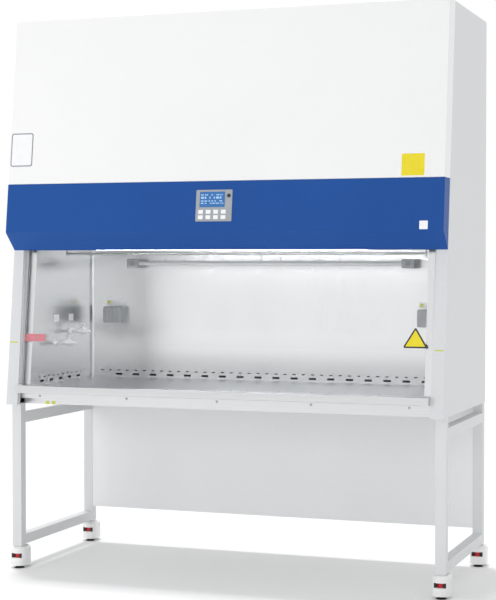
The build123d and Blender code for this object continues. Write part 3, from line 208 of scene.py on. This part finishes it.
# ------------------------------------------------------------ glass and light
def pane(name, tint, share_kept, rough):
    """Thin clear glass: it lets everything through but a share, this much of what Fresnel's law
    gives, that grows towards a grazing view.  A soft noise waves the mirror image."""
    made, tree, shader, place = material(name, {"Base Color": srgb(tint), "Roughness": rough})
    shine = add(tree, "ShaderNodeFresnel", {"IOR": 1.5})
    share = add(tree, "ShaderNodeMath", {0: shine.outputs[0], 1: share_kept}, operation="MULTIPLY",
                use_clamp=True)
    wave = add(tree, "ShaderNodeTexNoise", {"Vector": place, "Scale": 1 / (300 * MM), "Detail": 1.0})
    lift = add(tree, "ShaderNodeBump", {"Height": wave.outputs["Fac"], "Strength": 0.2,
                                        "Distance": 0.4 * MM})
    tree.links.new(share.outputs[0], shader.inputs["Alpha"])
    tree.links.new(lift.outputs[0], shader.inputs["Normal"])
    return made


# Toughened soda-lime glass: all but unseen, with a breath of green.
glass_toughened = pane("glass_toughened_clear", "f2f7f5", 0.5, 0.04)


def frosted_tube(name):
    """Lamp tube of soft glass with a pale inner coat: a milky body under a sharp gloss, cloudier
    in slow patches along its length."""
    made, tree, shader, place = material(name, {"Coat Weight": 0.6, "Coat Roughness": 0.05})
    cloud = add(tree, "ShaderNodeTexNoise", {"Vector": place, "Scale": 1 / (70 * MM), "Detail": 2.0})
    colour = add(tree, "ShaderNodeMix", {0: cloud.outputs["Fac"], 6: srgb("f0f3f6"), 7: srgb("fcfdfe")},
                 data_type="RGBA")
    gloss = add(tree, "ShaderNodeMapRange", {0: cloud.outputs["Fac"], 3: 0.14, 4: 0.26})
    tree.links.new(colour.outputs[2], shader.inputs["Base Color"])
    tree.links.new(gloss.outputs[0], shader.inputs["Roughness"])
    return made


glass_lamp = frosted_tube("glass_lamp_milky")


def opal(name, strength):
    """Opal acrylic lit from behind: it glows evenly, a little weaker in fine mottles."""
    made, tree, shader, place = material(name, {"Base Color": srgb("ffffff"),
                                                "Emission Strength": strength})
    mottle = add(tree, "ShaderNodeTexNoise", {"Vector": place, "Scale": 1 / (15 * MM), "Detail": 2.0})
    glow = add(tree, "ShaderNodeMix", {0: mottle.outputs["Fac"], 6: srgb("f4f8ff"), 7: srgb("ffffff")},
               data_type="RGBA")
    gloss = add(tree, "ShaderNodeMapRange", {0: mottle.outputs["Fac"], 3: 0.4, 4: 0.5})
    tree.links.new(glow.outputs[2], shader.inputs["Emission Color"])
    tree.links.new(gloss.outputs[0], shader.inputs["Roughness"])
    return made


acrylic_opal = opal("acrylic_opal_lit", 30.0)


BAND = 5.92                    # from one pale band of the display film to the next


def lit_film(name, ink, glow, strength):
    """Back-lit display film: a gloss surface whose colour also shines a little.  Its columns of
    pixels, 1 mm apart really, are drawn as soft bands; the wave node's are pi / 10 / scale apart."""
    made, tree, shader, place = material(name, {"Roughness": 0.12, "Emission Strength": strength})
    bands = add(tree, "ShaderNodeTexWave", {"Vector": place, "Scale": pi / (10 * BAND * MM)},
                bands_direction="X")
    colour = add(tree, "ShaderNodeMix", {0: bands.outputs["Fac"], 6: srgb(ink), 7: srgb(glow)},
                 data_type="RGBA")
    tree.links.new(colour.outputs[2], shader.inputs["Base Color"])
    tree.links.new(colour.outputs[2], shader.inputs["Emission Color"])
    return made


lcd_blue = lit_film("lcd_film_blue", "2a64a4", "3874b4", 0.12)
lcd_pale = lit_film("lcd_film_pale", "8fb8dc", "a9cbe8", 0.25)

# The record's slots and their finishes, and the nodes that have a finish of their own.
SLOTS = {
    "casing_paint": powder_coat_grey, "cover_paint": powder_coat_white, "fascia_paint": powder_coat_blue,
    "stainless": stainless_liner, "stand_paint": powder_coat_stand, "galvanised": steel_galvanised,
    "filter_frame": filter_paper, "glass": glass_toughened, "lamp_glass": glass_lamp,
    "aluminium": aluminium_mill, "black_plastic": nylon_black, "dark_grey_plastic": abs_dark,
    "grey_plastic": abs_grey, "white_plastic": nylon_white, "red_plastic": abs_red,
    "belt_rubber": polyurethane_black, "shaft_steel": steel_zinc,
}
OWN = {
    "work_surface": tray_steel_painted_shade, "intake_grille": tray_steel_painted_shade, "armrest": stainless_long,
    "base_pan": stainless_long, "air_diffuser": stainless_long, "iv_bar": stainless_wire,
    "stand_back_panel": stand_sheet_coat_painted_light, "uv_lamp_holders": abs_pale, "sash_guides": aluminium_anodised,
}
for name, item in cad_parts.items():
    own = abs_key if name.startswith("key_") else OWN.get(name)
    for slot in item.material_slots:
        slot.material = own or SLOTS[slot.material.name.split(".")[0]]


# ------------------------------------------------------------ shapes
LEAST_ARC = 0.02               # an inset corner keeps at least this radius
ARC_POINTS = 5


def outline(corners, radius, inset):
    """A convex outline with rounded corners, drawn in by inset: at each corner an arc of the
    radius less the inset about a centre on the bisector."""
    corners = np.array(corners, float)
    before = np.roll(corners, 1, axis=0) - corners
    after = np.roll(corners, -1, axis=0) - corners
    before /= np.linalg.norm(before, axis=1, keepdims=True)
    after /= np.linalg.norm(after, axis=1, keepdims=True)
    bisector = before + after
    bisector /= np.linalg.norm(bisector, axis=1, keepdims=True)
    half = np.arccos(np.clip((before * after).sum(1), -1, 1)) / 2
    left = max(radius - inset, LEAST_ARC)
    centres = corners + bisector * ((inset + left) / np.sin(half))[:, None]
    middle = np.arctan2(-bisector[:, 1], -bisector[:, 0])
    sweep = (pi / 2 - half)[:, None] * np.linspace(-1, 1, ARC_POINTS)[None, :]
    angle = middle[:, None] + sweep
    ring = centres[:, None, :] + left * np.stack([np.cos(angle), np.sin(angle)], -1)
    return ring.reshape(-1, 2)


def box_corners(width, height):
    """Corners of a rectangle about its middle, anticlockwise."""
    x, y = width / 2, height / 2
    return [(-x, -y), (x, -y), (x, y), (-x, y)]


def loft(rings):
    """One closed skin through rings of equal counts, anticlockwise seen from the last one: quads
    between neighbours and one cap at each end."""
    count, around = rings.shape[:2]
    index = np.arange(count * around).reshape(count, around)
    low, high = index[:-1], index[1:]
    quads = np.stack([low, np.roll(low, -1, 1), np.roll(high, -1, 1), high], -1).reshape(-1, 4)
    faces = quads.tolist() + [index[0, ::-1].tolist(), index[-1].tolist()]
    return rings.reshape(-1, 3), faces


def slab(corners, radius, profile):
    """A plate whose rounded outline is drawn in along a profile of (inset, height) pairs."""
    rings = [np.column_stack([ring, np.full(len(ring), high)])
             for inset, high in profile for ring in [outline(corners, radius, inset)]]
    return loft(np.stack(rings))


def turned(profile, sides=24):
    """A turned body: each (radius, height) pair of the profile makes one circle."""
    profile = np.array(profile, float)
    angle = np.arange(sides) * 2 * pi / sides
    radius = profile[:, :1]
    rings = np.stack([radius * np.cos(angle), radius * np.sin(angle),
                      np.repeat(profile[:, 1:], sides, 1)], -1)
    return loft(rings)


def lay(shape, origin, across, up):
    """Move a shape from its own axes to a surface: across and up lie in it, the third points out."""
    points, faces = shape
    axes = np.array([across, up, np.cross(across, up)], float)
    return np.asarray(points) @ axes + np.array(origin, float), faces


def joined(shapes):
    """Several closed shapes as one mesh."""
    points, faces, start = [], [], 0
    for some, loops in shapes:
        points.append(some)
        faces += [[start + index for index in loop] for loop in loops]
        start += len(some)
    return np.concatenate(points), faces


SHARP = radians(35)            # edges that turn by more stay sharp


def piece(name, shape, finish, body):
    """Make the mesh in metres, give it its finish, and let it ride on a body."""
    points, faces = shape
    mesh = bpy.data.meshes.new(name)
    mesh.from_pydata((np.asarray(points) * MM).tolist(), [], faces)
    mesh.materials.append(finish)
    mesh.polygons.foreach_set("use_smooth", [True] * len(mesh.polygons))
    mesh.update()
    made = bpy.data.objects.new(name, mesh)
    bpy.context.scene.collection.objects.link(made)
    mesh.set_sharp_from_angle(angle=SHARP)
    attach(made, body)


EAST, NORTH, UP = (1, 0, 0), (0, 1, 0), (0, 0, 1)
WEST, SOUTH = (-1, 0, 0), (0, -1, 0)
SLOPE_UP = (0, sin(LEAN), cos(LEAN))


def on_slope(x, z, proud):
    """The point over the front line at x and z, proud ahead of it square to the slope."""
    run = (z - BODY_Z - proud * sin(LEAN)) / cos(LEAN)
    return (x, FOOT_Y + run * sin(LEAN) - proud * cos(LEAN), z)


def film(width, height, thick=0.3, radius=2.0):
    """A thin stuck-on plate: upright walls to 0.6 of its thickness, then an eased edge."""
    profile = [(0, GAP), (0, GAP + thick * 0.6), (thick * 0.4, GAP + thick)]
    return slab(box_corners(width, height), radius, profile)


def slope_plate(name, middle, size, ground, finish, slot, body="cabinet", **form):
    """A film on the leaning front: its middle's x and z, its width and height, and how far its
    ground stands ahead of the front line."""
    piece(name, lay(film(*size, **form), on_slope(*middle, ground), EAST, SLOPE_UP), finish, body)


def node_box(name):
    """A node's lowest and highest corners and its middle, in millimetres."""
    low, high = np.array(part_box(name)) / MM
    return low, high, (low + high) / 2


# ------------------------------------------------------------ plates on the casing
COVER_PLATE = (-853.5, 1718)
COLUMN_MARKS = ((-888.5, 39), (886.5, 33))      # middle and width of each
COLUMN_MARK_Z = 933.5
slope_plate("cover_plate_yellow", (785, 1626), (88, 83), FACE_H, vinyl_yellow, "cover_paint")
slope_plate("cover_plate_rim", COVER_PLATE, (99, 137), FACE_H, vinyl_slate, "cover_paint", radius=9)
slope_plate("cover_plate_white", COVER_PLATE, (90, 128), FACE_H, vinyl_white, "cover_paint",
            thick=0.7, radius=6)
slope_plate("fascia_plate_white", (832, 1400), (32, 32), FACE_H, vinyl_white, "fascia_paint")
strips = [lay(film(width, 5, thick=0.25, radius=1), on_slope(x, COLUMN_MARK_Z, 0), EAST, SLOPE_UP)
          for x, width in COLUMN_MARKS]
piece("column_marks", joined(strips), vinyl_lime, "cabinet")

# ------------------------------------------------------------ plates on the sash
TRIANGLE = [(-49, 0), (49, 0), (0, 80)]
TRIANGLE_AT = on_slope(787.5, 939, GLASS_H)     # the middle of its foot
TRIANGLE_RADIUS, RIM = 5, 6
rim = slab(TRIANGLE, TRIANGLE_RADIUS, [(0, GAP), (0, GAP + 0.15), (0.1, GAP + 0.2)])
face = slab(TRIANGLE, TRIANGLE_RADIUS, [(RIM, GAP), (RIM, GAP + 0.35), (RIM + 0.1, GAP + 0.4)])
piece("sash_plate_rim", lay(rim, TRIANGLE_AT, EAST, SLOPE_UP), vinyl_dark, "sash")
piece("sash_plate_yellow", lay(face, TRIANGLE_AT, EAST, SLOPE_UP), vinyl_yellow, "sash")
slope_plate("sash_strip_red", (-808.5, 952), (97, 30), GLASS_H, vinyl_red, "glass", body="sash", thick=0.2)

# ------------------------------------------------------------ plates in the chamber
SOCKET_PLACES = (-731.0, 693.0)
SOCKET_LABEL_Z, MARK_ASIDE = 1082, 34           # the lime mark lies to the left of its label's middle
TAPS_IN, TAP_LABEL_Z = (341, 478), 1021         # behind the body's foot line
labels, marks = [], []
for x in SOCKET_PLACES:
    labels.append(lay(film(90, 24), (x, BACK_WALL_Y, SOCKET_LABEL_Z), EAST, UP))
    marks.append(lay(film(16, 14, thick=0.5), (x - MARK_ASIDE, BACK_WALL_Y, SOCKET_LABEL_Z), EAST, UP))
piece("socket_labels", joined(labels), vinyl_white, "cabinet")
piece("socket_label_marks", joined(marks), vinyl_lime, "cabinet")
tap_labels = [lay(film(45, 30), (-CHAMBER_HALF, FOOT_Y + y, TAP_LABEL_Z), NORTH, UP) for y in TAPS_IN]
piece("tap_labels", joined(tap_labels), vinyl_white, "cabinet")

# ------------------------------------------------------------ display
DISPLAY_Z, BEZEL = 1481.0, 2.0                  # the bezel's face stands ahead of the fascia's
SCREEN, SCREEN_MIDDLE = (107.6, 60.6), (-12, 24)
SCREEN_DEEP, BLOCKS_DEEP = 0.6, 0.25            # below the bezel's face
BLOCK_ROWS = ((42, 4.0), (31, 8.0), (18, 4.0), (9, 4.0))        # place up the slope, blocks' height
BLOCKS_FROM, BLOCKS_TO = -58.0, 30.0
BLOCK_WIDTHS, BLOCK_SPACES = [4.0, 7.0, 12.0], [3.0, 5.0, 14.0]
# A push button, (radius, height): a ring whose face dips in the middle.
BUTTON, BUTTON_AT = [(7.5, GAP), (7.5, 0.9), (7.0, 1.4), (4.6, 1.6), (3.8, 1.2), (0.2, 1.0)], (58, 38.5)


def on_display(x, up, proud):
    """A point of the display: x from the cabinet's middle, up the slope from the display's middle,
    proud of its bezel."""
    _, y, z = on_slope(0, DISPLAY_Z, FACE_H)
    out = BEZEL + proud
    return (x, y + up * sin(LEAN) - out * cos(LEAN), z + up * cos(LEAN) + out * sin(LEAN))


screen = lay(film(*SCREEN, radius=1), on_display(*SCREEN_MIDDLE, -SCREEN_DEEP), EAST, SLOPE_UP)
piece("display_film", screen, lcd_blue, "cabinet")
blocks = []
rng = np.random.default_rng(7)
for up, tall in BLOCK_ROWS:
    x = BLOCKS_FROM
    while x < BLOCKS_TO:
        width = float(rng.choice(BLOCK_WIDTHS))
        block_at = on_display(x + width / 2, up, -BLOCKS_DEEP)
        blocks.append(lay(film(width, tall, thick=0.12, radius=0.5), block_at, EAST, SLOPE_UP))
        x += width + float(rng.choice(BLOCK_SPACES))
piece("display_segments", joined(blocks), lcd_pale, "cabinet")
piece("display_button", lay(turned(BUTTON), on_display(*BUTTON_AT, 0), EAST, SLOPE_UP), vinyl_dark,
      "cabinet")

# ------------------------------------------------------------ screws
# Pan head with a cross recess, (radius, height): over the dome and down into the recess.
DOME = [(4.2, 0.02), (4.2, 0.8), (3.9, 1.6), (3.0, 2.2), (2.2, 2.4), (2.1, 1.0), (0.3, 0.8)]
RECESS = slice(4, 6)           # the circles of the recess's mouth and floor
SCREW_SIDES, PINCH = 16, 0.45


def screw(size=1.0):
    """Turned dome; its recess circles are pinched in along the diagonals to leave a cross."""
    points, faces = turned(np.array(DOME) * size, SCREW_SIDES)
    points = points.reshape(len(DOME), SCREW_SIDES, 3)
    pinch = np.where(np.arange(SCREW_SIDES) % 4 == 2, PINCH, 1.0)
    points[RECESS, :, :2] *= pinch[None, :, None]
    return points.reshape(-1, 3), faces


PAN_SETBACK, SUMP_SETBACK = 34, 40      # the pan's front behind the foot line, its sump behind that
PAN_Y = FOOT_Y + PAN_SETBACK
SUMP_Y = PAN_Y + SUMP_SETBACK
BAND_SCREW_Z, TAG_Z = 716, 686
band_screws = [lay(screw(1.2), (x, PAN_Y, BAND_SCREW_Z), EAST, UP) for x in (-772, -386, 0, 386, 772)]
piece("band_screws", joined(band_screws), steel_zinc, "cabinet")
tags = [lay(film(17, 14, radius=1), (x, SUMP_Y, TAG_Z), EAST, UP) for x in (-758, -730)]
piece("band_tags", joined(tags), vinyl_lime, "cabinet")

# Screws round the rear panel: two rows of nine, and five between them down each side.
REAR_HALF, REAR_ROWS, REAR_SIDES = 890.0, (696.0, 2232.0), np.linspace(900, 2030, 5)
around = [(x, z) for x in np.linspace(-REAR_HALF, REAR_HALF, 9) for z in REAR_ROWS]
around += [(x, z) for z in REAR_SIDES for x in (-REAR_HALF, REAR_HALF)]
rear_screws = [lay(screw(), (x, REAR_Y, z), WEST, UP) for x, z in around]
piece("rear_screws", joined(rear_screws), steel_zinc, "cabinet")

# ------------------------------------------------------------ work light
DIFFUSER_SIZE, DIFFUSER_RADIUS = (1150, 34), 4
DIFFUSER_CROWN = [(0, 0.05), (0, 0.9), (1.0, 1.5), (5, 1.8)]    # insets and heights
light_low, _, light_mid = node_box("work_light")
diffuser = slab(box_corners(*DIFFUSER_SIZE), DIFFUSER_RADIUS, DIFFUSER_CROWN)
piece("light_diffuser", lay(diffuser, (light_mid[0], light_mid[1], light_low[2]), EAST, SOUTH),
      acrylic_opal, "cabinet")

# ------------------------------------------------------------ black cheeks in the levellers' windows, painted shade
# Black cheeks at both ends of each window are painted shade for the shaded inside of the housing there; they
# leave the middle of the red wheel to be seen.
CHEEK_SIZE, CHEEK_ASIDE, WINDOW_AHEAD = (11, 18.6), 17.8, 21.6  # the places from the red wheel's middle
cheek = slab(box_corners(*CHEEK_SIZE), 1, [(0, 0), (0, 1.5), (0.4, 1.9)])
for corner in ("front_left", "front_right", "rear_left", "rear_right"):
    wheel_mid = node_box("caster_knob_" + corner)[2]
    cheeks = [lay(cheek, wheel_mid + (side * CHEEK_ASIDE, -WINDOW_AHEAD, 0), EAST, UP) for side in (-1, 1)]
    piece("window_shade_cheeks_" + corner, joined(cheeks), nylon_black, "caster_housing_" + corner)

# ------------------------------------------------------------ lamp holders' catches
CATCH_SIZE = (22, 20)
CATCH_IN, CATCH_SCREW = 26.5, 19        # from a holder's outer end, and from the catch's middle
catch = slab(box_corners(*CATCH_SIZE), 2, [(0, GAP), (0, 1.0), (0.6, 1.6), (3, 1.6), (3.4, 0.9)])
holder_low, holder_high, holder_mid = node_box("uv_lamp_holders")
holder_y, holder_z = holder_low[1], holder_mid[2]
catches, catch_screws = [], []
for x in (holder_low[0] + CATCH_IN, holder_high[0] - CATCH_IN):
    catches.append(lay(catch, (x, holder_y, holder_z), EAST, UP))
    for along in (-CATCH_SCREW, CATCH_SCREW):
        catch_screws.append(lay(screw(0.8), (x + along, holder_y, holder_z), EAST, UP))
piece("holder_catches", joined(catches), abs_grey, "cabinet")
piece("holder_screws", joined(catch_screws), steel_zinc, "cabinet")

# ------------------------------------------------------------ outlets behind the covers
SOCKET_DEEP, OUTLET_SUNK, OUTLET_Z = 38, 7, 1027        # the box, its face in it, the middle's height
PIN_ASIDE = 9.5
OUTLET = [(21, 0.05), (21, 2.5), (20, 3.2), (18.5, 3.2), (18, 0.8), (0.5, 0.6)]
CONTACT = [(2.6, 0.9), (2.6, 1.2), (2.2, 1.4), (0.3, 1.35)]
outlet_y = BACK_WALL_Y - SOCKET_DEEP + OUTLET_SUNK
outlets, contacts = [], []
for x in SOCKET_PLACES:
    outlets.append(lay(turned(OUTLET, 32), (x, outlet_y, OUTLET_Z), EAST, UP))
    for along in (-PIN_ASIDE, PIN_ASIDE):
        contacts.append(lay(turned(CONTACT, 16), (x + along, outlet_y, OUTLET_Z), EAST, UP))
piece("outlet_faces", joined(outlets), nylon_white, "cabinet")
piece("outlet_contacts", joined(contacts), steel_zinc, "cabinet")

# ------------------------------------------------------------ floor, world and lamps
FLOOR_HALF, FLOOR_LIFT = 40.0, 0.13     # metres; emission that only sight and mirrors get
ROOM_SEEN, ROOM_LIGHT = 1.0, 0.74       # the room's strength as seen and as a lamp


def seen_directly(tree):
    """1 on a ray of sight and on one through a mirror or glass, 0 on a ray that lights a surface."""
    path = add(tree, "ShaderNodeLightPath")
    either = add(tree, "ShaderNodeMath", {0: path.outputs["Is Camera Ray"], 1: path.outputs["Is Glossy Ray"]},
                 operation="ADD")
    any_of = add(tree, "ShaderNodeMath", {0: either.outputs[0], 1: path.outputs["Is Transmission Ray"]},
                 operation="ADD", use_clamp=True)
    return any_of.outputs[0]


def stage_floor():
    """A wide pale floor: one flat square whose shade drifts a little; sight and mirrors get a lift
    that takes the unshaded floor to white, so that only shadows show on it."""
    made, tree, shader, place = material("floor_paper_white", {"Roughness": 0.9})
    drift = add(tree, "ShaderNodeTexNoise", {"Vector": place, "Scale": 0.3})
    colour = add(tree, "ShaderNodeMix", {0: drift.outputs["Fac"], 6: srgb("e6e6e6"), 7: srgb("e9e9e9")},
                 data_type="RGBA")
    lift = add(tree, "ShaderNodeMath", {0: seen_directly(tree), 1: FLOOR_LIFT}, operation="MULTIPLY")
    tree.links.new(colour.outputs[2], shader.inputs["Base Color"])
    tree.links.new(lift.outputs[0], shader.inputs["Emission Strength"])
    shader.inputs["Emission Color"].default_value = srgb("ffffff")
    corners = [(x, y, 0.0) for x, y in box_corners(2 * FLOOR_HALF, 2 * FLOOR_HALF)]
    mesh = bpy.data.meshes.new("floor")
    mesh.from_pydata(corners, [], [[0, 1, 2, 3]])
    mesh.materials.append(made)
    floor = bpy.data.objects.new("floor", mesh)
    bpy.context.scene.collection.objects.link(floor)


stage_floor()


def studio_world():
    """An even white room: sight, mirrors and glass get one strength, lit surfaces the other."""
    world = bpy.data.worlds.new("studio_white")
    world.use_nodes = True
    tree = world.node_tree
    strength = add(tree, "ShaderNodeMapRange", {0: seen_directly(tree), 3: ROOM_LIGHT, 4: ROOM_SEEN})
    tree.links.new(strength.outputs[0], tree.nodes["Background"].inputs["Strength"])
    tree.nodes["Background"].inputs["Color"].default_value = srgb("ffffff")
    bpy.context.scene.world = world


studio_world()


def soft_lamp(name, place, aim, size, power):
    """A square softbox that faces its aim; no glossy surface mirrors it."""
    data = bpy.data.lights.new(name, "AREA")
    data.shape = "SQUARE"
    data.size, data.energy = size, power
    lamp = bpy.data.objects.new(name, data)
    lamp.location = place
    lamp.visible_glossy = False
    lamp.rotation_euler = (Vector(aim) - Vector(place)).to_track_quat("-Z", "Y").to_euler()
    bpy.context.scene.collection.objects.link(lamp)


soft_lamp("key_softbox", place=(-3.2, -6.8, 1.6), aim=(0, 0, 1.0), size=3.0, power=92)

# Near-parallel light, 6 degrees wide, from above and a little behind and left of the object.
OVERHEAD_WAY = Vector((0.10, -0.12, -1.0))
overhead = bpy.data.objects.new("overhead_lamp", bpy.data.lights.new("overhead_lamp", "SUN"))
overhead.data.energy, overhead.data.angle = 1.26, radians(6)
overhead.rotation_euler = OVERHEAD_WAY.to_track_quat("-Z", "Y").to_euler()
bpy.context.scene.collection.objects.link(overhead)
